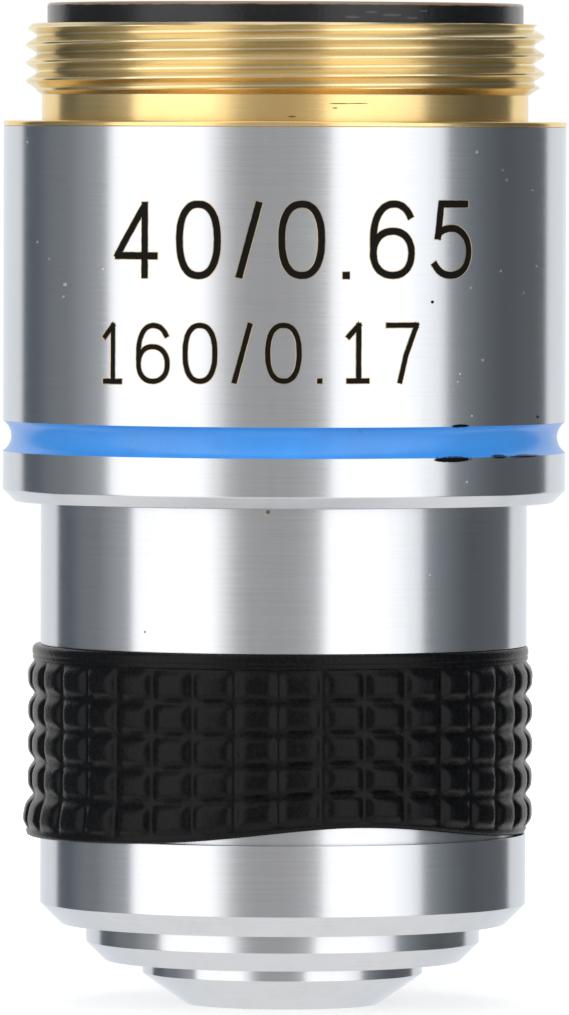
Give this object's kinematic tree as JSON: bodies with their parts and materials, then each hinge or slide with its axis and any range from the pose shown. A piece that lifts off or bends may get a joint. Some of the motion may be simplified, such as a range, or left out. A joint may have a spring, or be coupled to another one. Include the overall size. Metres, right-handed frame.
{
  "type": "microscope objective",
  "caption": "Screw-in microscope objective with a brass society thread, plated stepped barrel, colour band, rubber grip and a spring-loaded nose.",
  "frame": {"origin": "centre of the shoulder seat, on the optical axis", "axes": "+Z along the optical axis towards the mounting thread, so the nose points down; +Y points to the key pin, and the picture looks along +Y"},
  "size_m": [0.022, 0.022, 0.0391],
  "materials": {
    "brass": "satin",
    "black_ring": "satin",
    "plated_barrel": "satin",
    "plated_nose": "satin",
    "blue_enamel": "gloss",
    "spring_steel": "satin",
    "grip_rubber": "satin",
    "blackened_brass": "matte",
    "lens_glass": "polished"
  },
  "bodies": {
    "mount_body": {"thread_mount": "brass", "rear_stop_ring": "black_ring", "outer_barrel": "plated_barrel", "colour_band": "blue_enamel", "nose_spring": "spring_steel"},
    "nose_body": {"nose_sleeve": "plated_nose", "grip_ring": "grip_rubber", "guide_pin": "spring_steel", "lens_tube": "plated_nose", "tube_lock_ring": "blackened_brass", "front_cell": "plated_nose", "front_lens": "lens_glass", "front_spacer": "blackened_brass", "middle_cell": "blackened_brass", "middle_flint": "lens_glass", "middle_crown": "lens_glass", "rear_spacer": "blackened_brass", "rear_cell": "blackened_brass", "rear_flint": "lens_glass", "rear_crown": "lens_glass", "aperture_stop": "blackened_brass", "lens_lock_ring": "blackened_brass"}
  },
  "joints": [
    {"name": "nose_retract", "type": "slide", "parent": "mount_body", "child": "nose_body", "axis": [0, 0, 1], "range_m": [0, 0.0025], "stiffness_N_per_m": 216, "springref_m": -0.01, "deforming": ["nose_spring"]}
  ]
}
